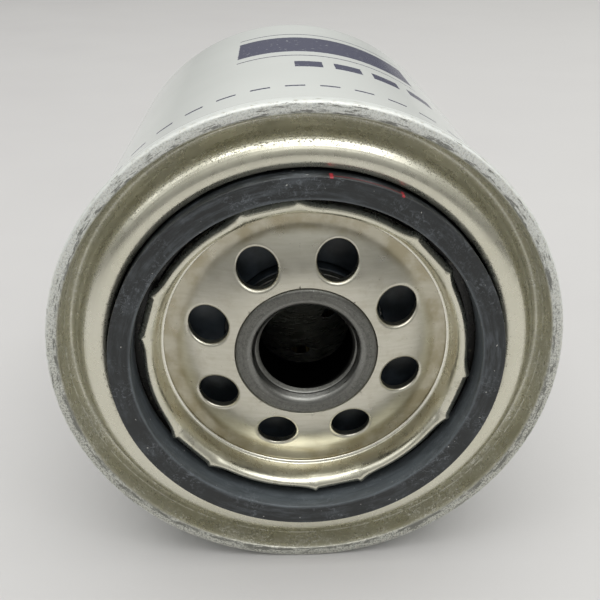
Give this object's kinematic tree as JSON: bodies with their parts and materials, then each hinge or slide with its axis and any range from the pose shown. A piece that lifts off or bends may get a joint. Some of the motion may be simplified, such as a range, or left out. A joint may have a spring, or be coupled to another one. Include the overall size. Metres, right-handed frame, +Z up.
{
  "type": "oil filter",
  "caption": "Spin-on engine oil filter lying on its side: painted can, rolled seam, sealing ring, drilled tapping plate, threaded hub, and the pleated element and valves inside",
  "frame": {"origin": "on the ground under the middle of the filter's length, directly below its axis", "axes": "+Z up; the filter's axis lies along Y with its thread end towards -Y and its dome towards +Y; +X to the right seen from the thread end"},
  "size_m": [0.0928, 0.1108, 0.0928],
  "materials": {
    "can_paint": "glossy pale grey-white sprayed enamel",
    "tinplate": "tin-plated sheet steel, satin, faintly olive",
    "gasket_rubber": "moulded nitrile, matt charcoal with chalky scuffs",
    "plate_steel": "plated pressed steel, satin",
    "hub_steel": "unplated turned steel, dark grey and oily",
    "valve_rubber": "moulded nitrile, blue-black, semi-gloss",
    "spring_steel": "oil-tempered spring wire",
    "inner_steel": "plain pressed sheet steel",
    "adhesive": "cured plastisol",
    "filter_paper": "resin-cured cellulose filter paper"
  },
  "bodies": {
    "housing": {"outer_can": "can_paint", "seaming_lid": "tinplate", "sealing_gasket": "gasket_rubber", "tapping_plate": "plate_steel", "threaded_hub": "hub_steel", "antidrainback_collar": "valve_rubber", "element_spring": "spring_steel"},
    "element": {"upper_end_cap": "inner_steel", "lower_end_cap": "inner_steel", "upper_potting": "adhesive", "lower_potting": "adhesive", "pleated_media": "filter_paper", "media_clip": "inner_steel", "center_tube": "inner_steel", "bypass_housing": "inner_steel", "bypass_retainer": "inner_steel", "bypass_spring": "spring_steel"},
    "poppet": {"bypass_poppet": "inner_steel", "bypass_seal": "valve_rubber"},
    "valve_lip": {"antidrainback_lip": "valve_rubber"}
  },
  "joints": [
    {"name": "element_float", "type": "slide", "parent": "housing", "child": "element", "axis": [0, 1, 0], "range_m": [0, 0.0025], "stiffness_N_per_m": 3000, "springref_m": -0.008, "deforming": ["element_spring"]},
    {"name": "bypass_lift", "type": "slide", "parent": "element", "child": "poppet", "axis": [0, -1, 0], "range_m": [0, 0.0025], "stiffness_N_per_m": 300, "springref_m": -0.012, "deforming": ["bypass_spring"]},
    {"name": "valve_lip_open", "type": "slide", "parent": "housing", "child": "valve_lip", "axis": [0, 1, 0], "range_m": [0, 0.002], "stiffness_N_per_m": 120, "springref_m": -0.003}
  ]
}
